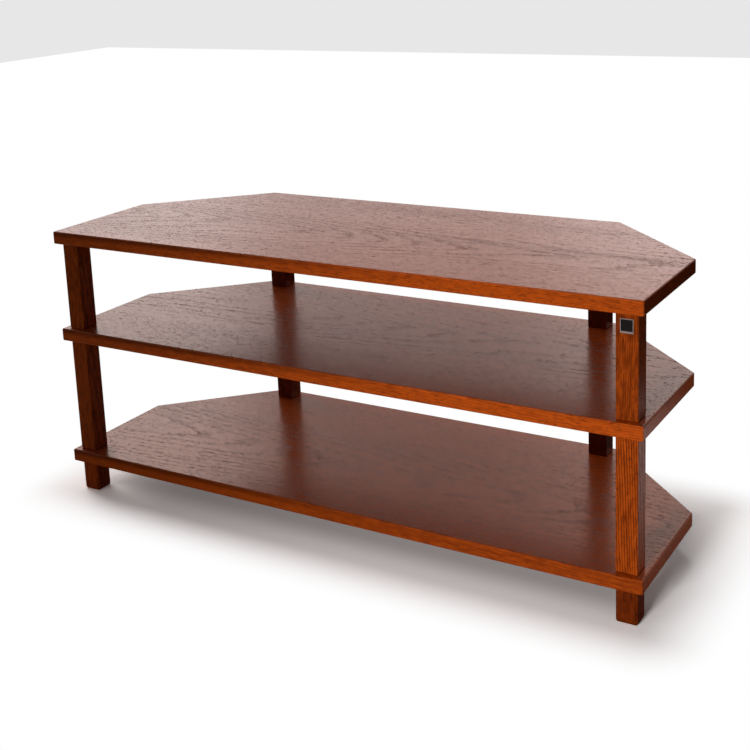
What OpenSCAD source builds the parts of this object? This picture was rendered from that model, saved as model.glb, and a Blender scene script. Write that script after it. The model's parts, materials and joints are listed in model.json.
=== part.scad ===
// Corner hi-fi rack in stained oak: three hexagonal shelves on square leg segments.
// Front faces -Y, up is +Z, and the origin is on the floor under the middle of the shelves.

/* [Shelves] */
// Width of every shelf along its front edge
shelf_w = 1200; // [900:10:1500]
// Depth of every shelf from front edge to back edge
shelf_d = 468; // [400:1:600]
// Length that each cut back corner takes off the side edge and off the back edge
corner_cut = 205; // [120:1:240]
// Thickness of a shelf board
board_t = 25; // [20:0.5:40]
// Width of the eased arris along every shelf edge
shelf_arris = 2; // [0.5:0.5:4]

/* [Legs] */
// Side of the square legs and feet
leg_w = 37; // [28:1:60]
// Height of the feet under the bottom shelf
foot_h = 63; // [50:1:140]
// Height of the leg segments between the bottom and middle shelves
lower_leg_h = 232; // [120:1:400]
// Height of the leg segments between the middle and top shelves
upper_leg_h = 174; // [120:1:400]
// From the side edge of a shelf to the outer side of the front legs
leg_side_inset = 12; // [3:0.5:40]
// From the front edge of a shelf to the front of the front legs
leg_front_inset = 12; // [3:0.5:40]
// From the back edge of a shelf to the back of the back legs
leg_back_inset = 10; // [3:0.5:40]
// From the end of the back edge to the outer side of the back legs
leg_corner_inset = 10.5; // [0:0.5:80]
// Width of the eased arris down every leg
leg_arris = 1.5; // [0.5:0.5:4]
// Width of the eased arris down and under every foot
foot_arris = 3.5; // [1:0.5:6]

/* [Fasteners] */
// Diameter of the threaded studs
stud_d = 8; // [5:1:12]
// Length of stud held in each leg or foot insert
stud_grip = 14; // [8:1:20]
// Length of stud held in each insert under the top shelf
shelf_grip = 12; // [8:0.5:14]
// Bevel on the ends of a stud
stud_bevel = 1; // [0.5:0.25:2]
// Wall of a threaded insert
insert_wall = 2; // [1.5:0.25:3.5]
// How much the flange of an insert stands out beyond its sleeve
flange_out = 1.5; // [1:0.25:2.5]
// Thickness of the flange of an insert
flange_t = 1.2; // [0.8:0.1:2]

/* [Badge] */
// Width of the badge plate
badge_w = 21.5; // [12:0.5:26]
// Height of the badge plate
badge_h = 23; // [12:0.5:60]
// Thickness of the badge plate
badge_t = 1.4; // [1:0.1:2.5]
// From the underside of the top shelf to the top of the badge plate
badge_drop = 9.5; // [2:0.5:60]
// Width of the raised rim of the badge plate
badge_rim = 1.25; // [1:0.25:3]
// Height of the plain strip along the foot of the badge plate
badge_strip_h = 3; // [1:0.25:4]
// Depth of the sunk field of the badge plate
badge_sink = 0.4; // [0.2:0.1:0.7]

/* [Clearances] */
// Gap between a stud and the bore of its insert
stud_clear = 0.15; // [0.05:0.05:0.4]
// Gap between a stud and the hole through a shelf
hole_clear = 0.75; // [0.3:0.05:1.5]
// Gap between an insert and the bore that holds it
insert_clear = 0.1; // [0.05:0.05:0.3]
// Gap past the end of an insert at the bottom of its bore
bore_end_clear = 0.5; // [0.3:0.1:2]

/* [Hidden] */
$fn = 48;

// Levels from the floor up
bottom_shelf_z = foot_h;
lower_leg_z = bottom_shelf_z + board_t;
middle_shelf_z = lower_leg_z + lower_leg_h;
upper_leg_z = middle_shelf_z + board_t;
top_shelf_z = upper_leg_z + upper_leg_h;

// Plan of a shelf, and the plan place of the middle of each leg
half_w = shelf_w / 2;
half_d = shelf_d / 2;
back_edge_x = half_w - corner_cut;
front_leg_x = half_w - leg_side_inset - leg_w / 2;
front_leg_y = -half_d + leg_front_inset + leg_w / 2;
back_leg_x = back_edge_x - leg_corner_inset - leg_w / 2;
back_leg_y = half_d - leg_back_inset - leg_w / 2;
FRONT_LEFT = [-front_leg_x, front_leg_y];
FRONT_RIGHT = [front_leg_x, front_leg_y];
BACK_LEFT = [-back_leg_x, back_leg_y];
BACK_RIGHT = [back_leg_x, back_leg_y];
CORNERS = [FRONT_LEFT, FRONT_RIGHT, BACK_LEFT, BACK_RIGHT];

// Bores and fasteners. The stud reaches as deep as its grip, and the insert a little deeper.
hole_d = stud_d + 2 * hole_clear;
insert_bore_d = stud_d + 2 * stud_clear;
insert_d = insert_bore_d + 2 * insert_wall;
flange_d = insert_d + 2 * flange_out;
leg_insert_l = stud_grip + bore_end_clear;
shelf_insert_l = shelf_grip + bore_end_clear;
through_stud_l = board_t + 2 * stud_grip;
top_stud_l = shelf_grip + stud_grip;

OAK = [0.42, 0.17, 0.08];
DARK_OAK = [0.25, 0.10, 0.05];
STEEL = [0.72, 0.72, 0.74];
BADGE_METAL = [0.80, 0.79, 0.76];

// Puts a copy of its children over every leg.
module at_corners() {
    for (corner = CORNERS) {
        translate([corner.x, corner.y, 0]) children();
    }
}

// Hexagon of a shelf: straight front, short sides and two cut back corners.
module shelf_outline() {
    polygon([
        [-half_w, -half_d], [half_w, -half_d], [half_w, half_d - corner_cut],
        [back_edge_x, half_d], [-back_edge_x, half_d], [-half_w, half_d - corner_cut]
    ]);
}

// Shelf board standing on z = 0, eased along its top and bottom edges.
module board() {
    hull() {
        translate([0, 0, shelf_arris]) linear_extrude(board_t - 2 * shelf_arris) shelf_outline();
        linear_extrude(board_t) offset(delta = -shelf_arris) shelf_outline();
    }
}

// Board of the middle or bottom shelf, with the stud holes right through it.
module drilled_board() {
    difference() {
        board();
        at_corners() translate([0, 0, -1]) cylinder(d = hole_d, h = board_t + 2);
    }
}

// Bore that takes an insert, opening downwards at z = 0 and going up.
module insert_bore(insert_l) {
    translate([0, 0, -1]) cylinder(d = insert_d + 2 * insert_clear, h = insert_l + bore_end_clear + 1);
    translate([0, 0, -1]) cylinder(d = flange_d + 2 * insert_clear, h = flange_t + insert_clear + 1);
}

// Threaded insert with its flange flush at z = 0 and its sleeve going up.
module insert(insert_l) {
    difference() {
        union() {
            cylinder(d = insert_d, h = insert_l);
            cylinder(d = flange_d, h = flange_t);
        }
        translate([0, 0, -1]) cylinder(d = insert_bore_d, h = insert_l + 2);
    }
}

// Plain stud with bevelled ends, standing on z = 0.
module stud(stud_l) {
    rotate_extrude() polygon([
        [0, 0], [stud_d / 2 - stud_bevel, 0], [stud_d / 2, stud_bevel],
        [stud_d / 2, stud_l - stud_bevel], [stud_d / 2 - stud_bevel, stud_l], [0, stud_l]
    ]);
}

// Square with its four corners cut by the arris.
module eased_square(side, arris) {
    h = side / 2;
    polygon([
        [-h + arris, -h], [h - arris, -h], [h, -h + arris], [h, h - arris],
        [h - arris, h], [-h + arris, h], [-h, h - arris], [-h, -h + arris]
    ]);
}

// Leg segment standing on z = 0, with an insert bore in each end.
module leg(height) {
    difference() {
        linear_extrude(height) eased_square(leg_w, leg_arris);
        insert_bore(leg_insert_l);
        translate([0, 0, height]) mirror([0, 0, 1]) insert_bore(leg_insert_l);
    }
}

// Side view of a foot, with the two bottom corners eased.
module foot_profile() {
    h = leg_w / 2;
    polygon([
        [-h + foot_arris, 0], [h - foot_arris, 0], [h, foot_arris],
        [h, foot_h], [-h, foot_h], [-h, foot_arris]
    ]);
}

// Foot standing on z = 0, eased down its sides and under its bottom, with an insert bore in its top.
module foot() {
    difference() {
        intersection() {
            linear_extrude(foot_h) eased_square(leg_w, foot_arris);
            translate([0, leg_w, 0]) rotate([90, 0, 0]) linear_extrude(2 * leg_w) foot_profile();
            translate([-leg_w, 0, 0]) rotate([90, 0, 90]) linear_extrude(2 * leg_w) foot_profile();
        }
        translate([0, 0, foot_h]) mirror([0, 0, 1]) insert_bore(leg_insert_l);
    }
}

module upper_leg(corner) {
    color(OAK) translate([corner.x, corner.y, upper_leg_z]) leg(upper_leg_h);
}

module lower_leg(corner) {
    color(OAK) translate([corner.x, corner.y, lower_leg_z]) leg(lower_leg_h);
}

module corner_foot(corner) {
    color(DARK_OAK) translate([corner.x, corner.y, 0]) foot();
}

// The top shelf shows no fasteners: its insert bores stop inside the board.
module top_shelf() {
    color(OAK) translate([0, 0, top_shelf_z]) difference() {
        board();
        at_corners() insert_bore(shelf_insert_l);
    }
}

module middle_shelf() {
    color(OAK) translate([0, 0, middle_shelf_z]) drilled_board();
}

module bottom_shelf() {
    color(OAK) translate([0, 0, bottom_shelf_z]) drilled_board();
}

module top_studs() {
    color(STEEL) translate([0, 0, top_shelf_z - stud_grip]) at_corners() stud(top_stud_l);
}

module middle_studs() {
    color(STEEL) translate([0, 0, middle_shelf_z - stud_grip]) at_corners() stud(through_stud_l);
}

module bottom_studs() {
    color(STEEL) translate([0, 0, bottom_shelf_z - stud_grip]) at_corners() stud(through_stud_l);
}

// Four leg or foot inserts whose flanges look up at the given level.
module inserts_facing_up(level) {
    color(STEEL) translate([0, 0, level]) at_corners() mirror([0, 0, 1]) insert(leg_insert_l);
}

// Four inserts whose flanges look down at the given level.
module inserts_facing_down(level, insert_l) {
    color(STEEL) translate([0, 0, level]) at_corners() insert(insert_l);
}

// Plain badge plate on the front of the front right upper leg, near its top.
module badge_plate() {
    field_w = badge_w - 2 * badge_rim;
    field_h = badge_h - badge_rim - badge_strip_h;
    color(BADGE_METAL)
    translate([FRONT_RIGHT.x, FRONT_RIGHT.y - leg_w / 2, top_shelf_z - badge_drop - badge_h]) difference() {
        translate([-badge_w / 2, -badge_t, 0]) cube([badge_w, badge_t, badge_h]);
        translate([-field_w / 2, -badge_t - 1, badge_strip_h]) cube([field_w, badge_sink + 1, field_h]);
    }
}

top_shelf();
middle_shelf();
bottom_shelf();
upper_leg(FRONT_LEFT);  // upper_leg_front_left
upper_leg(FRONT_RIGHT);  // upper_leg_front_right
upper_leg(BACK_LEFT);  // upper_leg_back_left
upper_leg(BACK_RIGHT);  // upper_leg_back_right
lower_leg(FRONT_LEFT);  // lower_leg_front_left
lower_leg(FRONT_RIGHT);  // lower_leg_front_right
lower_leg(BACK_LEFT);  // lower_leg_back_left
lower_leg(BACK_RIGHT);  // lower_leg_back_right
corner_foot(FRONT_LEFT);  // foot_front_left
corner_foot(FRONT_RIGHT);  // foot_front_right
corner_foot(BACK_LEFT);  // foot_back_left
corner_foot(BACK_RIGHT);  // foot_back_right
badge_plate();
top_studs();
middle_studs();
bottom_studs();
inserts_facing_down(top_shelf_z, shelf_insert_l);  // top_shelf_inserts
inserts_facing_up(top_shelf_z);  // upper_leg_top_inserts
inserts_facing_down(upper_leg_z, leg_insert_l);  // upper_leg_bottom_inserts
inserts_facing_up(middle_shelf_z);  // lower_leg_top_inserts
inserts_facing_down(lower_leg_z, leg_insert_l);  // lower_leg_bottom_inserts
inserts_facing_up(bottom_shelf_z);  // foot_inserts
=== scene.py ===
"""Corner hi-fi rack in stained oak, dressed piece by piece from the floor up."""
import json
import math

import bmesh
import bpy
from mathutils import Matrix, Vector

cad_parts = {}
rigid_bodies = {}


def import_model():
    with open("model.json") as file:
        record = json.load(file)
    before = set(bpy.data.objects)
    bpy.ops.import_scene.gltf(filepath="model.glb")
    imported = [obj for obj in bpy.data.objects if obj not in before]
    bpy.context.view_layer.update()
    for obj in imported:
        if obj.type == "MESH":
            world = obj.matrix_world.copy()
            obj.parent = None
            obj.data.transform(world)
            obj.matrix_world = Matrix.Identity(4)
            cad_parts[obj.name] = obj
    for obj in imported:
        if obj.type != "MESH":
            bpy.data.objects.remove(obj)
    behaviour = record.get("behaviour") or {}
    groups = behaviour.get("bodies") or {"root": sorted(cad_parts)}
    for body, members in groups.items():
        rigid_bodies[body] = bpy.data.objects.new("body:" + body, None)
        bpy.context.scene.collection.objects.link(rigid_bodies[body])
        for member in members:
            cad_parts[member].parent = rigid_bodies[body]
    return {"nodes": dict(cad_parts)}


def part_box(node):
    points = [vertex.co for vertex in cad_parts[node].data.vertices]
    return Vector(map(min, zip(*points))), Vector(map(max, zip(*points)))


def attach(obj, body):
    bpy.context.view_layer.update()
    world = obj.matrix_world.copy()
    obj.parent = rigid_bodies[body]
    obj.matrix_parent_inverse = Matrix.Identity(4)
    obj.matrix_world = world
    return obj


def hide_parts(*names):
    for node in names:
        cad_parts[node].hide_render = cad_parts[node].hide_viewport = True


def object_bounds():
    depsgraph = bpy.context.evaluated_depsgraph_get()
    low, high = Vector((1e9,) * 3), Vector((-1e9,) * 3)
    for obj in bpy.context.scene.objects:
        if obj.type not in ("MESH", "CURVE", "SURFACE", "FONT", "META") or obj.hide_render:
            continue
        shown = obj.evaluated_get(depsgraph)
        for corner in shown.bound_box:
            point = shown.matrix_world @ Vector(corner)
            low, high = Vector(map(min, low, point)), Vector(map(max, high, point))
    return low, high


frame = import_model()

cad_box = [list(corner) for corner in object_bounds()]

# Feet: four short blocks of dark stained oak, sawn from the same square stock as the legs.
# Their edges are rounded over further than the legs' are, and each is bored in the top for
# a threaded insert. The bottom shelf rests on them, and the studs pull the two together.
CORNERS = ("front_left", "front_right", "back_left", "back_right")
foot_round = 0.0045
drill_overrun = 0.002
INSERT_BORE = {"radius": 0.00625, "depth": 0.015, "mouth_radius": 0.00775, "mouth_depth": 0.0013}
FOOT_OAK = {
    "light": (0.155, 0.023, 0.003),
    "dark": (0.060, 0.008, 0.0015),
    "pore": (0.018, 0.002, 0.001),
}
# The front feet's shade is painted light, strongest on the front left foot
FOOT_CUTS = {
    "front_left": {"heart": (0.31, 0.060, 0.052), "shade": 2.4},
    "front_right": {"heart": (0.77, -0.075, 0.040), "shade": 1.1},
    "back_left": {"heart": (1.13, 0.050, -0.062)},
    "back_right": {"heart": (1.59, -0.048, -0.070)},
}
rough_dark_wood = 0.30
rough_light_wood = 0.18
rough_pores = 0.37
grain_strength = 0.21
grain_height = 0.0001
lacquer_ior = 1.5
lacquer_tint = (1.0, 0.4, 0.2, 1)
LACQUER_SHINE = {"X": 0.8, "Z": 0.35}


def plug(tree, node, inputs):
    """Links or sets a node's sockets, by name or by place."""
    for socket, value in inputs.items():
        if isinstance(value, bpy.types.NodeSocket):
            tree.links.new(value, node.inputs[socket])
        else:
            node.inputs[socket].default_value = value


def add_node(tree, kind, inputs=None, **settings):
    """A node with its settings, and its sockets linked or set."""
    made = tree.nodes.new(kind)
    for setting, value in settings.items():
        setattr(made, setting, value)
    plug(tree, made, inputs or {})
    return made


def maths(tree, operation, first, second=0.0, third=0.0):
    """One sum."""
    inputs = {0: first, 1: second, 2: third}
    return add_node(tree, "ShaderNodeMath", inputs, operation=operation).outputs[0]


def vector_maths(tree, operation, first, second=(0, 0, 0)):
    """One sum with vectors."""
    made = add_node(tree, "ShaderNodeVectorMath", {0: first, 1: second}, operation=operation)
    return made.outputs["Value" if operation == "LENGTH" else "Vector"]


def smooth_step(tree, value, span, levels=(0.0, 1.0)):
    """A smooth step from the first level to the second, as the value goes over its span."""
    return add_node(
        tree, "ShaderNodeMapRange",
        {
            "Value": value,
            "From Min": span[0], "From Max": span[1],
            "To Min": levels[0], "To Max": levels[1],
        },
        interpolation_type="SMOOTHSTEP",
    ).outputs[0]


def mixed_colours(tree, share, first, second):
    """The first colour, with a share of the second over it."""
    inputs = {0: share, 6: first, 7: second}
    return add_node(tree, "ShaderNodeMix", inputs, data_type="RGBA", clamp_factor=True).outputs[2]


def into_scene(name, mesh):
    """A new object at the origin, with its place in its mesh."""
    piece = bpy.data.objects.new(name, mesh)
    bpy.context.scene.collection.objects.link(piece)
    return piece


def baked(piece):
    """Turns the piece's modifiers into plain mesh."""
    graph = bpy.context.evaluated_depsgraph_get()
    finished = bpy.data.meshes.new_from_object(piece.evaluated_get(graph), depsgraph=graph)
    finished.name = piece.name
    piece.modifiers.clear()
    piece.data = finished
    return piece


def rounded(piece, radius):
    """Rounds the piece's edges over and leaves its broad faces flat."""
    for face in piece.data.polygons:
        face.use_smooth = True
    bevel = piece.modifiers.new("arris", "BEVEL")
    bevel.width = radius
    bevel.segments = 4
    bevel.limit_method = "ANGLE"
    bevel.angle_limit = math.radians(20)
    bevel.harden_normals = True
    return baked(piece)


def drilled(piece, holes):
    """Drills round holes: each has its centre, its depth up from there and its radius."""
    bits = bmesh.new()
    for centre, depth, radius in holes:
        middle = Matrix.Translation(centre + Vector((0, 0, depth / 2)))
        bmesh.ops.create_cone(
            bits, cap_ends=True, segments=40,
            radius1=radius, radius2=radius, depth=depth, matrix=middle,
        )
    drill_mesh = bpy.data.meshes.new("drill")
    bits.to_mesh(drill_mesh)
    bits.free()
    drill = into_scene("drill", drill_mesh)
    holes_cut = piece.modifiers.new("holes", "BOOLEAN")
    holes_cut.object = drill
    holes_cut.solver = "EXACT"
    baked(piece)
    bpy.data.objects.remove(drill)
    return piece


def insert_holes(node, ends):
    """The stepped bores for the inserts in the top, the bottom or both ends of a leg or foot."""
    low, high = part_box(node)
    middle = (Vector(low) + Vector(high)) / 2
    holes = []
    for size in ("", "mouth_"):
        depth = INSERT_BORE[size + "depth"]
        radius = INSERT_BORE[size + "radius"]
        starts = {"top": high[2] - depth, "bottom": low[2] - drill_overrun}
        for end in ends:
            start = Vector((middle.x, middle.y, starts[end]))
            holes.append((start, depth + drill_overrun, radius))
    return holes


def square_post(name, node, radius, ends):
    """A square post that fills the node's box, rounded over and bored for its inserts."""
    low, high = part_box(node)
    stock = bmesh.new()
    bmesh.ops.create_cube(stock, size=1)
    for point in stock.verts:
        point.co = [low[i] if point.co[i] < 0 else high[i] for i in range(3)]
    mesh = bpy.data.meshes.new(name)
    stock.to_mesh(mesh)
    stock.free()
    post = rounded(into_scene(name, mesh), radius)
    return drilled(post, insert_holes(node, ends))


def oak_figure():
    """The inside of an oak log, with the grain along X and the heart on the X axis, in metres."""
    # Marks per metre along the grain, and across it both ways
    bend = (1.3, 6, 6)
    ring_wobble = (5, 60, 60)
    streak = (1.4, 22, 22)
    dash = (24, 430, 760)
    fleck = (150, 420, 760)
    fibre = (45, 200, 200)
    cloud = (1.1, 13, 13)
    # The log's taper, and how strongly the marks show
    log_taper = 0.03
    wobble_depth = 0.8
    crowding_share = 0.08
    fibre_contrast = 2.4
    cloud_contrast = 1.5
    middle_tone = 0.82

    tree = bpy.data.node_groups.new("oak_figure", "ShaderNodeTree")
    sockets = tree.interface
    sockets.new_socket("Point", in_out="INPUT", socket_type="NodeSocketVector")
    for name in ("Ring width", "Wander", "Ring depth"):
        sockets.new_socket(name, in_out="INPUT", socket_type="NodeSocketFloat")
    for name in ("Tone", "Pores"):
        sockets.new_socket(name, in_out="OUTPUT", socket_type="NodeSocketFloat")
    given = add_node(tree, "NodeGroupInput").outputs

    def noise(per_metre, detail, output="Fac"):
        squeezed = vector_maths(tree, "MULTIPLY", given["Point"], per_metre)
        inputs = {"Vector": squeezed, "Scale": 1, "Detail": detail}
        return add_node(tree, "ShaderNodeTexNoise", inputs).outputs[output]

    # The heart wanders as the tree leans and bends, which turns the rings into arches
    leaning = vector_maths(tree, "SUBTRACT", noise(bend, 2, "Color"), (0.5, 0.5, 0.5))
    wandered = vector_maths(tree, "MULTIPLY", leaning, given["Wander"])
    log_point = vector_maths(tree, "ADD", given["Point"], wandered)
    along, across, through = add_node(tree, "ShaderNodeSeparateXYZ", {0: log_point}).outputs
    cross = add_node(tree, "ShaderNodeCombineXYZ", {"Y": across, "Z": through}).outputs[0]
    radius = maths(tree, "MULTIPLY_ADD", along, log_taper, vector_maths(tree, "LENGTH", cross))
    even_ring = maths(tree, "DIVIDE", radius, given["Ring width"])
    ring = maths(tree, "MULTIPLY_ADD", noise(ring_wobble, 2), wobble_depth, even_ring)
    early_wood = smooth_step(tree, maths(tree, "FRACT", ring), span=(0.55, 0.0))

    # Pores lie along the grain and crowd into the early wood of each ring
    crowding = maths(tree, "MULTIPLY", early_wood, crowding_share)
    streaks = smooth_step(tree, noise(streak, 2), span=(0.46, 0.66), levels=(0.15, 1.0))
    crowded_dashes = maths(tree, "ADD", noise(dash, 1), crowding)
    dashes = smooth_step(tree, crowded_dashes, span=(0.62, 0.76))
    long_pores = maths(tree, "MULTIPLY", dashes, streaks)
    crowded_flecks = maths(tree, "ADD", noise(fleck, 1), crowding)
    fine_pores = smooth_step(tree, crowded_flecks, span=(0.58, 0.72))
    pores = maths(tree, "MAXIMUM", long_pores, fine_pores)

    # Fibres and clouds lighten and darken the wood, and the early wood is darker
    fibres = maths(tree, "SUBTRACT", noise(fibre, 3), 0.5)
    clouds = maths(tree, "SUBTRACT", noise(cloud, 3), 0.5)
    tone = maths(tree, "MULTIPLY_ADD", fibres, fibre_contrast, middle_tone)
    tone = maths(tree, "MULTIPLY_ADD", clouds, cloud_contrast, tone)
    ring_mark = maths(tree, "MULTIPLY", early_wood, given["Ring depth"])
    tone = maths(tree, "SUBTRACT", tone, ring_mark)
    clamped = add_node(tree, "ShaderNodeClamp", {"Value": tone}).outputs[0]
    add_node(tree, "NodeGroupOutput", {"Tone": clamped, "Pores": pores})
    return tree


def stained_oak(
    name, colours, heart, open_pores, along="X", ring_width=0.004, wander=0.03, ring_depth=0.5,
    shade=1.0,
):
    """Oak stained through and lacquered. heart shifts the piece along the log and across it.

    along is the way the grain runs, and open_pores is how much of the pores the lacquer left
    open. shade scales the colours, partly for how light the stain took and partly as painted
    light (above 1) and painted shade (below 1) for the light that reaches the piece.
    """
    light, dark, pore = (
        [shade * channel for channel in colours[part]] + [1] for part in ("light", "dark", "pore")
    )
    material = bpy.data.materials.new(name)
    material.use_nodes = True
    tree = material.node_tree
    place = add_node(tree, "ShaderNodeTexCoord").outputs["Object"]
    quarter_turn = math.pi / 2 if along == "Z" else 0
    log_point = add_node(
        tree, "ShaderNodeMapping",
        {"Vector": place, "Location": heart, "Rotation": (0, quarter_turn, 0)},
    ).outputs[0]
    tone, wood_pores = add_node(
        tree, "ShaderNodeGroup",
        {
            "Point": log_point,
            "Ring width": ring_width,
            "Wander": wander,
            "Ring depth": ring_depth,
        },
        node_tree=bpy.data.node_groups.get("oak_figure") or oak_figure(),
    ).outputs
    pores = maths(tree, "MULTIPLY", wood_pores, open_pores)
    wood = mixed_colours(tree, tone, dark, light)
    relief = maths(tree, "SUBTRACT", tone, pores)
    dull = add_node(
        tree, "ShaderNodeMapRange",
        {"Value": tone, "To Min": rough_dark_wood, "To Max": rough_light_wood},
    ).outputs[0]
    grain = add_node(
        tree, "ShaderNodeBump",
        {"Height": relief, "Strength": grain_strength, "Distance": grain_height},
    ).outputs[0]
    plug(tree, tree.nodes["Principled BSDF"], {
        "Base Color": mixed_colours(tree, pores, wood, pore),
        "Roughness": maths(tree, "MULTIPLY_ADD", pores, rough_pores, dull),
        "Normal": grain,
        "IOR": lacquer_ior,
        "Specular IOR Level": LACQUER_SHINE[along],
        "Specular Tint": lacquer_tint,
    })
    return material


for corner in CORNERS:
    node = "foot_" + corner
    foot = square_post("oak_" + node, node, foot_round, ("top",))
    foot_oak = stained_oak(node, FOOT_OAK, open_pores=0.6, along="Z", **FOOT_CUTS[corner])
    foot.data.materials.append(foot_oak)
    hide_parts(node)
    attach(foot, "root")

# Bottom shelf: a 25 mm oak board, sawn to a hexagon with its two back corners cut at 45
# degrees, its edges rounded over and the whole board stained and lacquered. A painted shade
# darkens the top of its front edge and fades out to the right. It has a stud hole over each foot.
corner_cut = 0.205
board_round = 0.0025
stud_hole = 0.00475
SHELF_OAK = {
    "light": (0.440, 0.070, 0.0060),
    "dark": (0.235, 0.034, 0.0035),
    "pore": (0.140, 0.019, 0.002),
}
# Painted shade along the top of each board's front edge: its strength and colour, how far down
# and in it reaches, and where across it fades out
painted_shade_strength = 0.7
painted_shade_colour = (0.06, 0.008, 0.001, 1)
painted_shade_below_top = (0.014, 0.003)
painted_shade_behind_front = (0.003, 0.001)
painted_shade_across = (0.25, -0.3)


def hexagon_board():
    """Geometry nodes for a board: a grid of two columns and three rows, its back row drawn in."""
    tree = bpy.data.node_groups.new("hexagon_board", "GeometryNodeTree")
    sockets = tree.interface
    sockets.new_socket("Board", in_out="OUTPUT", socket_type="NodeSocketGeometry")
    for name in ("Width", "Depth", "Corner cut", "Thickness", "Underside"):
        sockets.new_socket(name, in_out="INPUT", socket_type="NodeSocketFloat")
    sockets.new_socket("Oak", in_out="INPUT", socket_type="NodeSocketMaterial")
    given = add_node(tree, "NodeGroupInput").outputs

    plan = add_node(
        tree, "GeometryNodeMeshGrid",
        {"Size X": given["Width"], "Size Y": given["Depth"], "Vertices X": 2, "Vertices Y": 3},
    ).outputs["Mesh"]
    place = add_node(tree, "GeometryNodeInputPosition").outputs[0]
    across, along, _ = add_node(tree, "ShaderNodeSeparateXYZ", {0: place}).outputs
    quarter = maths(tree, "DIVIDE", given["Depth"], 4.0)
    in_back_row = maths(tree, "GREATER_THAN", along, quarter)
    in_middle_row = maths(tree, "LESS_THAN", maths(tree, "ABSOLUTE", along), quarter)
    outwards = maths(tree, "MULTIPLY", maths(tree, "SIGN", across), given["Corner cut"])
    drawn_in = maths(tree, "MULTIPLY", outwards, -1.0)
    back_edge = maths(tree, "DIVIDE", given["Depth"], 2.0)
    side_end = maths(tree, "SUBTRACT", back_edge, given["Corner cut"])
    shift = add_node(
        tree, "ShaderNodeCombineXYZ",
        {
            "X": maths(tree, "MULTIPLY", drawn_in, in_back_row),
            "Y": maths(tree, "MULTIPLY", side_end, in_middle_row),
            "Z": given["Underside"],
        },
    ).outputs[0]
    outline = add_node(
        tree, "GeometryNodeSetPosition", {"Geometry": plan, "Offset": shift}
    ).outputs[0]
    up = add_node(tree, "ShaderNodeCombineXYZ", {"Z": given["Thickness"]}).outputs[0]
    raised = add_node(
        tree, "GeometryNodeExtrudeMesh", {"Mesh": outline, "Offset": up, "Individual": False},
        mode="FACES",
    ).outputs["Mesh"]
    underside = add_node(tree, "GeometryNodeFlipFaces", {"Mesh": outline}).outputs[0]
    both = add_node(tree, "GeometryNodeJoinGeometry", {0: raised})
    tree.links.new(underside, both.inputs[0])
    closed = add_node(
        tree, "GeometryNodeMergeByDistance", {"Geometry": both.outputs[0]}
    ).outputs[0]
    whole = add_node(tree, "GeometryNodeRealizeInstances", {"Geometry": closed}).outputs[0]
    dressed = add_node(
        tree, "GeometryNodeSetMaterial", {"Geometry": whole, "Material": given["Oak"]}
    ).outputs[0]
    add_node(tree, "NodeGroupOutput", {"Board": dressed})
    return tree


def shelf_board(name, node, oak):
    """A board that fills the node's box, rounded over."""
    low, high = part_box(node)
    sizes = {
        "Width": high[0] - low[0],
        "Depth": high[1] - low[1],
        "Corner cut": corner_cut,
        "Thickness": high[2] - low[2],
        "Underside": low[2],
        "Oak": oak,
    }
    board = into_scene(name, bpy.data.meshes.new(name))
    sawn = board.modifiers.new("sawn", "NODES")
    sawn.node_group = bpy.data.node_groups.get("hexagon_board") or hexagon_board()
    for socket in sawn.node_group.interface.items_tree:
        if socket.in_out == "INPUT":
            sawn[socket.identifier] = sizes[socket.name]
    return rounded(baked(board), board_round)


def stud_holes(node):
    """A hole right through a shelf over each foot."""
    low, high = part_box(node)
    holes = []
    for corner in CORNERS:
        foot_low, foot_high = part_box("foot_" + corner)
        middle = (Vector(foot_low) + Vector(foot_high)) / 2
        start = Vector((middle.x, middle.y, low[2] - drill_overrun))
        holes.append((start, high[2] - low[2] + 2 * drill_overrun, stud_hole))
    return holes


def board_oak(node, heart, shade=1.0):
    """The oak of one shelf, with painted shade high on its front edge that fades out to the
    right.
    """
    oak = stained_oak(
        node + "_oak", SHELF_OAK, heart, open_pores=0.85, ring_depth=0.45, shade=shade
    )
    tree = oak.node_tree
    low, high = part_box(node)
    place = add_node(tree, "ShaderNodeTexCoord").outputs["Object"]
    across, back, up = add_node(tree, "ShaderNodeSeparateXYZ", {0: place}).outputs
    # Painted shade, high on the front edge and fading out to the right
    line = painted_shade_strength
    for value, span in (
        (up, [high[2] - below for below in painted_shade_below_top]),
        (back, [low[1] + behind for behind in painted_shade_behind_front]),
        (across, painted_shade_across),
    ):
        line = maths(tree, "MULTIPLY", smooth_step(tree, value, span), line)
    colour = tree.nodes["Principled BSDF"].inputs["Base Color"]
    edge_shaded = mixed_colours(tree, line, colour.links[0].from_socket, painted_shade_colour)
    tree.links.new(edge_shaded, colour)
    return oak


# The bottom board's shade below 1 is painted shade that darkens it
bottom_oak = board_oak("bottom_shelf", heart=(2.3, 0.06, 0.26), shade=0.93)
bottom_board = shelf_board("oak_bottom_shelf", "bottom_shelf", bottom_oak)
bottom_shelf = drilled(bottom_board, stud_holes("bottom_shelf"))
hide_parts("bottom_shelf")
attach(bottom_shelf, "root")

# Lower legs: four square oak posts with the grain upright, stained and lacquered. They stand
# on the bottom shelf over the feet, and studs in their ends draw them tight to both shelves.
# The front right one is rift sawn, so its rings show as straight bold stripes.
leg_round = 0.002
LEG_OAK = {
    "light": (0.280, 0.046, 0.0040),
    "dark": (0.085, 0.012, 0.0015),
    "pore": (0.050, 0.006, 0.001),
}
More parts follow.
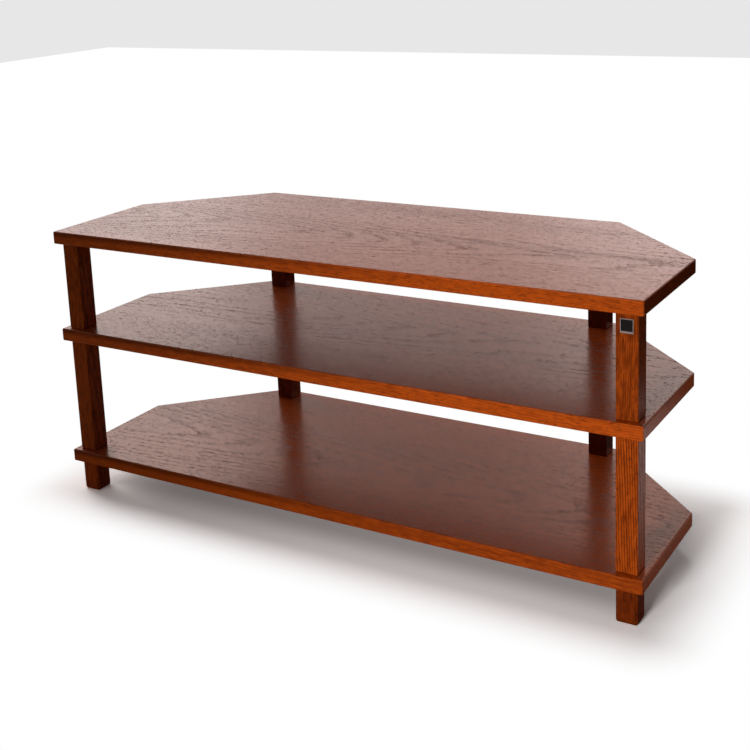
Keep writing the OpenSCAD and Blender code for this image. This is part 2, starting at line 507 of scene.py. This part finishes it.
# shade is partly painted light on the front legs and painted shade on the back right leg; the
# front right leg's is also a lighter stain under its bold rings
LOWER_LEG_CUTS = {
    "front_left": {"heart": (0.2, 0.45, 0.62), "ring_width": 0.003, "shade": 1.1},
    "front_right": {
        "heart": (0.9, 0.70, -0.75),
        "ring_width": 0.0038,
        "wander": 0.008,
        "ring_depth": 1.3,
        "shade": 1.45,
    },
    "back_left": {"heart": (1.7, -0.30, 0.40), "ring_width": 0.003},
    "back_right": {"heart": (2.6, -0.30, -0.40), "ring_width": 0.003, "shade": 0.65},
}
for corner in CORNERS:
    node = "lower_leg_" + corner
    leg = square_post("oak_" + node, node, leg_round, ("top", "bottom"))
    leg_oak = stained_oak(node, LEG_OAK, open_pores=0.7, along="Z", **LOWER_LEG_CUTS[corner])
    leg.data.materials.append(leg_oak)
    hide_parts(node)
    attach(leg, "root")

# Middle shelf: the same hexagonal board again, in the same stained and lacquered oak. It lies
# on the lower legs, and the studs between the lower and upper legs go right through it.
# The middle board's shade above 1 is painted light that brightens it
middle_oak = board_oak("middle_shelf", heart=(4.1, -0.05, 0.02), shade=1.1)
middle_board = shelf_board("oak_middle_shelf", "middle_shelf", middle_oak)
middle_shelf = drilled(middle_board, stud_holes("middle_shelf"))
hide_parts("middle_shelf")
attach(middle_shelf, "root")

# Upper legs: four shorter posts of the same oak stock, rounded over and bored like the lower
# ones. They stand on the middle shelf and carry the top one, each held by a stud at both ends.
# shade is partly painted light on the front legs and painted shade on the back right leg
UPPER_LEG_CUTS = {
    "front_left": {"heart": (3.2, 0.50, 0.60), "ring_width": 0.003, "shade": 1.2},
    "front_right": {
        "heart": (4.4, 0.55, -0.60),
        "ring_width": 0.0026,
        "wander": 0.010,
        "ring_depth": 0.85,
        "shade": 1.25,
    },
    "back_left": {"heart": (5.7, -0.30, 0.42), "ring_width": 0.003},
    "back_right": {"heart": (6.6, -0.30, -0.44), "ring_width": 0.003, "shade": 0.85},
}
for corner in CORNERS:
    node = "upper_leg_" + corner
    leg = square_post("oak_" + node, node, leg_round, ("top", "bottom"))
    leg_oak = stained_oak(node, LEG_OAK, open_pores=0.7, along="Z", **UPPER_LEG_CUTS[corner])
    leg.data.materials.append(leg_oak)
    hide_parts(node)
    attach(leg, "root")

# Top shelf: the third board, of the same oak and finish. It is bored from below only, over
# each upper leg, for the inserts that its studs screw into, so no fastener shows on top.
top_bore_depth = 0.013
top_oak = board_oak("top_shelf", heart=(6.2, 0.04, -0.18))
top_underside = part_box("top_shelf")[0][2]
top_bores = []
for corner in CORNERS:
    leg_low, leg_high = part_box("upper_leg_" + corner)
    middle = (Vector(leg_low) + Vector(leg_high)) / 2
    start = Vector((middle.x, middle.y, top_underside - drill_overrun))
    top_bores.append((start, top_bore_depth + drill_overrun, INSERT_BORE["radius"]))
top_shelf = drilled(shelf_board("oak_top_shelf", "top_shelf", top_oak), top_bores)
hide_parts("top_shelf")
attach(top_shelf, "root")

# Inserts and studs: zinc plated steel, the fasteners that hold the rack together. Flanged
# inserts sit in the leg ends, the tops of the feet and the underside of the top shelf. The
# studs screw into them, and go through the bottom and middle shelves.
FASTENERS = (
    "top_studs", "middle_studs", "bottom_studs", "top_shelf_inserts", "upper_leg_top_inserts",
    "upper_leg_bottom_inserts", "lower_leg_top_inserts", "lower_leg_bottom_inserts",
    "foot_inserts",
)
zinc_colour = (0.66, 0.66, 0.68, 1)
zinc_rough = 0.25
zinc_bloom = 0.2
zinc_blooms_per_metre = 400
zinc = bpy.data.materials.new("zinc_plate")
zinc.use_nodes = True
zinc_tree = zinc.node_tree
zinc_place = add_node(zinc_tree, "ShaderNodeTexCoord").outputs["Object"]
blooms = add_node(
    zinc_tree, "ShaderNodeTexNoise", {"Vector": zinc_place, "Scale": zinc_blooms_per_metre}
).outputs["Fac"]
plug(zinc_tree, zinc_tree.nodes["Principled BSDF"], {
    "Base Color": zinc_colour,
    "Metallic": 1.0,
    "Roughness": maths(zinc_tree, "MULTIPLY_ADD", blooms, zinc_bloom, zinc_rough),
})
for node in FASTENERS:
    fastener = frame["nodes"][node]
    fastener.data.materials.clear()
    fastener.data.materials.append(zinc)

# Badge: a small square metal plate, stuck on the front of the front right upper leg. Its rim
# and foot strip are brushed and its sunk field is filled black. It is left bare.
half_sink = 0.0002
# The rim's pale colour is partly its own and partly a painted glint, since no lamp shows in its
# reflections
rim_colour_and_glint = (0.46, 0.36, 0.34, 1)
field_colour = (0.012, 0.009, 0.009, 1)
rim_metal = 0.5
plate_rough = 0.25
brushing = 0.25
brush_marks_per_metre = (60, 3000, 3000)
badge = frame["nodes"]["badge_plate"]
plate_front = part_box("badge_plate")[0][1]
plate = bpy.data.materials.new("badge_plate")
plate.use_nodes = True
plate_tree = plate.node_tree
plate_place = add_node(plate_tree, "ShaderNodeTexCoord").outputs["Object"]
plate_depth = add_node(plate_tree, "ShaderNodeSeparateXYZ", {0: plate_place}).outputs["Y"]
is_sunk = maths(plate_tree, "GREATER_THAN", plate_depth, plate_front + half_sink)
brushed = vector_maths(plate_tree, "MULTIPLY", plate_place, brush_marks_per_metre)
brush_marks = add_node(
    plate_tree, "ShaderNodeTexNoise", {"Vector": brushed, "Scale": 1}
).outputs["Fac"]
metal = add_node(
    plate_tree, "ShaderNodeMapRange", {"Value": is_sunk, "To Min": rim_metal, "To Max": 0.0}
).outputs[0]
plug(plate_tree, plate_tree.nodes["Principled BSDF"], {
    "Base Color": mixed_colours(plate_tree, is_sunk, rim_colour_and_glint, field_colour),
    "Metallic": metal,
    "Roughness": maths(plate_tree, "MULTIPLY_ADD", brush_marks, brushing, plate_rough),
})
badge.data.materials.clear()
badge.data.materials.append(plate)

# Stage: a wide pale floor that keeps the rack's shadow and fades to white away from it. The
# lacquer mirrors a painted glowing patch of it beside the rack; its far parts throw little light.
floor_reach = 8
floor_colour = (1.0, 0.96, 0.945)
any_height = 1.0
rack_right, rack_back, _ = cad_box[1]
half_rack = (rack_right, rack_back, any_height)


def mixed_levels(tree, share, first, second):
    """The first level, with a share of the second in its place."""
    inputs = {0: share, 2: first, 3: second}
    return add_node(tree, "ShaderNodeMix", inputs, data_type="FLOAT").outputs[0]


floor_mesh = bpy.data.meshes.new("floor")
floor_sheet = bmesh.new()
bmesh.ops.create_grid(floor_sheet, x_segments=1, y_segments=1, size=floor_reach)
floor_sheet.to_mesh(floor_mesh)
floor_sheet.free()
floor = into_scene("floor", floor_mesh)
floor_paint = bpy.data.materials.new("pale_floor")
floor_paint.use_nodes = True
floor_tree = floor_paint.node_tree
floor_tree.nodes.clear()
floor_place = add_node(floor_tree, "ShaderNodeTexCoord").outputs["Object"]
floor_across, floor_back, _ = add_node(
    floor_tree, "ShaderNodeSeparateXYZ", {0: floor_place}
).outputs
from_centre = vector_maths(floor_tree, "ABSOLUTE", floor_place)
past_rack = vector_maths(floor_tree, "SUBTRACT", from_centre, half_rack)
past_side, past_front, _ = add_node(
    floor_tree, "ShaderNodeSeparateXYZ", {0: past_rack}
).outputs
past_edge = maths(floor_tree, "MAXIMUM", past_side, past_front)
how_far_out = vector_maths(floor_tree, "MAXIMUM", past_rack, (0, 0, 0))
outside = vector_maths(floor_tree, "LENGTH", how_far_out)
floor_rays = add_node(floor_tree, "ShaderNodeLightPath").outputs
seen = floor_rays["Is Camera Ray"]
mirrored = floor_rays["Is Glossy Ray"]

# Painted light: the camera sees the floor lighter under the rack's rim, which thins its shadow
# there, and lighter to the left than to the right
painted_light_under_rim = smooth_step(floor_tree, past_edge, span=(-0.09, -0.005), levels=(1.0, 2.15))
painted_light_to_left = smooth_step(floor_tree, floor_across, span=(-0.7, 0.6), levels=(1.4, 0.8))
seen_white = maths(floor_tree, "MULTIPLY", painted_light_under_rim, painted_light_to_left)
unseen_white = smooth_step(floor_tree, outside, span=(0.8, 1.3), levels=(0.5, 0.04))
whiteness = mixed_levels(floor_tree, seen, unseen_white, seen_white)
floor_tint = vector_maths(floor_tree, "MULTIPLY", floor_colour, whiteness)
floor_face = add_node(floor_tree, "ShaderNodeBsdfDiffuse", {"Color": floor_tint}).outputs[0]

# Away from the rack the camera sees plain white, and the lacquer mirrors a painted reflection:
# a patch beside the rack that glows in reflections only
beside = smooth_step(floor_tree, past_side, span=(0.02, 0.22), levels=(0.04, 0.5))
before_far = smooth_step(floor_tree, floor_back, span=(0.35, 0.9), levels=(1.0, 0.0))
past_near = smooth_step(floor_tree, floor_back, span=(-0.25, 0.0), levels=(0.1, 1.0))
patch_depth = maths(floor_tree, "MULTIPLY", before_far, past_near)
painted_reflection_patch = maths(floor_tree, "MULTIPLY", beside, patch_depth)
faded = maths(floor_tree, "MULTIPLY", smooth_step(floor_tree, outside, span=(-0.02, 0.13)), seen)
glowing = maths(floor_tree, "MAXIMUM", faded, mirrored)
glow_level = mixed_levels(floor_tree, mirrored, 1.0, painted_reflection_patch)
floor_glow = add_node(floor_tree, "ShaderNodeEmission", {"Strength": glow_level}).outputs[0]
floor_look = add_node(
    floor_tree, "ShaderNodeMixShader", {0: glowing, 1: floor_face, 2: floor_glow}
).outputs[0]
add_node(floor_tree, "ShaderNodeOutputMaterial", {"Surface": floor_look})
floor_mesh.materials.append(floor_paint)

# Surround: the white studio round the rack, which the camera sees plain white. The lacquer
# mirrors a lit wall behind the rack, brighter towards both its ends, and a soft glow from the
# front and the right, where there is no wall. The wall also lights the rack softly.
room_light = 0.03
backdrop_share = 0.85
least_depth = 0.1
surround = bpy.data.worlds.new("surround")
bpy.context.scene.world = surround
surround.use_nodes = True
sky = surround.node_tree
sky.nodes.clear()
sky_rays = add_node(sky, "ShaderNodeLightPath").outputs
facing = add_node(sky, "ShaderNodeTexCoord").outputs["Generated"]
sideways, backwards, upwards = add_node(sky, "ShaderNodeSeparateXYZ", {0: facing}).outputs
bearing = maths(sky, "DIVIDE", sideways, maths(sky, "MAXIMUM", backwards, least_depth))

middle_wall = smooth_step(sky, upwards, span=(0.24, 0.31), levels=(1.36, 0.66))
left_side = smooth_step(sky, bearing, span=(-0.84, -0.70), levels=(1.0, 0.0))
left_height = smooth_step(sky, upwards, span=(0.16, 0.42), levels=(0.35, 1.85))
left_window = maths(sky, "MULTIPLY", left_side, left_height)
right_window = smooth_step(sky, bearing, span=(-0.49, -0.31), levels=(0.0, 0.85))
windows = maths(sky, "ADD", left_window, right_window)
wall = maths(sky, "ADD", middle_wall, windows)

behind = smooth_step(sky, backwards, span=(-0.1, 0.35))
below_ceiling = smooth_step(sky, upwards, span=(0.42, 0.75), levels=(1.0, 0.08))
right_end = smooth_step(sky, bearing, span=(-0.12, 0.22), levels=(1.0, 0.05))
wall_edges = maths(sky, "MULTIPLY", maths(sky, "MULTIPLY", behind, below_ceiling), right_end)
backdrop = maths(sky, "MULTIPLY", wall_edges, wall)

in_front = smooth_step(sky, backwards, span=(0.3, -0.1))
on_the_right = smooth_step(sky, bearing, span=(0.15, 0.5))
away_from_wall = maths(sky, "MAXIMUM", in_front, on_the_right)
above_floor = smooth_step(sky, upwards, span=(0.12, 0.3))
glow_edges = maths(sky, "MULTIPLY", away_from_wall, above_floor)
front_glow = maths(sky, "MULTIPLY", glow_edges, below_ceiling)

reflected = maths(sky, "ADD", backdrop, front_glow)
soft_light = maths(sky, "MULTIPLY_ADD", backdrop, backdrop_share, room_light)
in_gloss = maths(sky, "MAXIMUM", sky_rays["Is Glossy Ray"], sky_rays["Is Transmission Ray"])
on_rack = mixed_levels(sky, in_gloss, soft_light, reflected)
sky_level = mixed_levels(sky, sky_rays["Is Camera Ray"], on_rack, 1.0)
sky_glow = add_node(sky, "ShaderNodeBackground", {"Strength": sky_level}).outputs[0]
add_node(sky, "ShaderNodeOutputWorld", {"Surface": sky_glow})

# Lamps: a soft spot from the front, a soft box overhead, one behind on the left, one at the
# front left, and a small one low on the right that stands for the light off the floor there.
# The spot and the box at the front left pass by the back legs.
KEY_LAMP = {
    "energy": 198,
    "shadow_soft_size": 0.3,
    "spot_size": math.radians(70),
    "spot_blend": 1.0,
}


def aim(lamp, place, target):
    """Puts a lamp in place, turned to its target and seen in no reflection."""
    holder = bpy.data.objects.new(lamp.name, lamp)
    bpy.context.scene.collection.objects.link(holder)
    holder.location = place
    holder.rotation_euler = (Vector(target) - Vector(place)).to_track_quat("-Z", "Y").to_euler()
    holder.visible_glossy = False
    return holder


def soft_box(name, size, energy, place, target):
    """A square area lamp."""
    lamp = bpy.data.lights.new(name, "AREA")
    lamp.shape = "SQUARE"
    lamp.size = size
    lamp.energy = energy
    return aim(lamp, place, target)


def light_only(lamp_holder, is_lit):
    """Lets a lamp fall on some of the pieces only."""
    lit = bpy.data.collections.new("lit_by_" + lamp_holder.name)
    for piece in bpy.data.objects:
        if piece.type == "MESH" and is_lit(piece.name):
            lit.objects.link(piece)
    lamp_holder.light_linking.receiver_collection = lit


def is_no_back_leg(name):
    """Whether the piece is any but a back leg."""
    return "leg_back" not in name


def takes_floor_light(name):
    """Whether the light off the floor reaches the piece: none at the top or the back."""
    return not any(word in name for word in ("top", "back", "floor"))


key = bpy.data.lights.new("key", "SPOT")
for setting, value in KEY_LAMP.items():
    setattr(key, setting, value)
key_lamp = aim(key, place=(0.45, -2.6, 0.72), target=(0.90, -0.234, 0.42))
light_only(key_lamp, is_no_back_leg)
soft_box("overhead", size=0.8, energy=9.5, place=(0.2, 0.2, 2.2), target=(0.2, 0.2, 0))
soft_box("window", size=1.2, energy=8, place=(-2.4, 0.7, 1.2), target=(0, 0, 0.3))
fill = soft_box("fill", size=1.0, energy=12, place=(-1.6, -3.0, 0.7), target=(-0.5, -0.234, 0.3))
light_only(fill, is_no_back_leg)
bounce = soft_box(
    "bounce", size=0.3, energy=0.45, place=(1.05, -0.1, 0.15), target=(0.58, -0.1, 0.2)
)
light_only(bounce, takes_floor_light)

# Camera: at the photograph's place, to the right of the rack and above it. Its place, turns
# and lens were fitted to the corners of the shelves and to the edges of the legs and feet.
camera_place = Vector((1.189, -1.975, 1.099))
camera_turn = 0.5417
camera_tilt = -0.2113
camera_roll = 0.0403
focal_pixels = 1261.2
lens_axis_row = 200
frame_pixels = 750
lens = bpy.data.cameras.new("camera")
lens.lens = lens.sensor_width * focal_pixels / frame_pixels
lens.shift_y = lens_axis_row / frame_pixels - 0.5
camera = bpy.data.objects.new("camera", lens)
bpy.context.scene.collection.objects.link(camera)
camera.matrix_world = (
    Matrix.Translation(camera_place)
    @ Matrix.Rotation(camera_turn, 4, "Z")
    @ Matrix.Rotation(camera_tilt, 4, "X")
    @ Matrix.Rotation(camera_roll, 4, "Y")
    @ Matrix.Rotation(math.pi / 2, 4, "X")
)
bpy.context.scene.camera = camera
bpy.context.scene.view_settings.view_transform = "Standard"
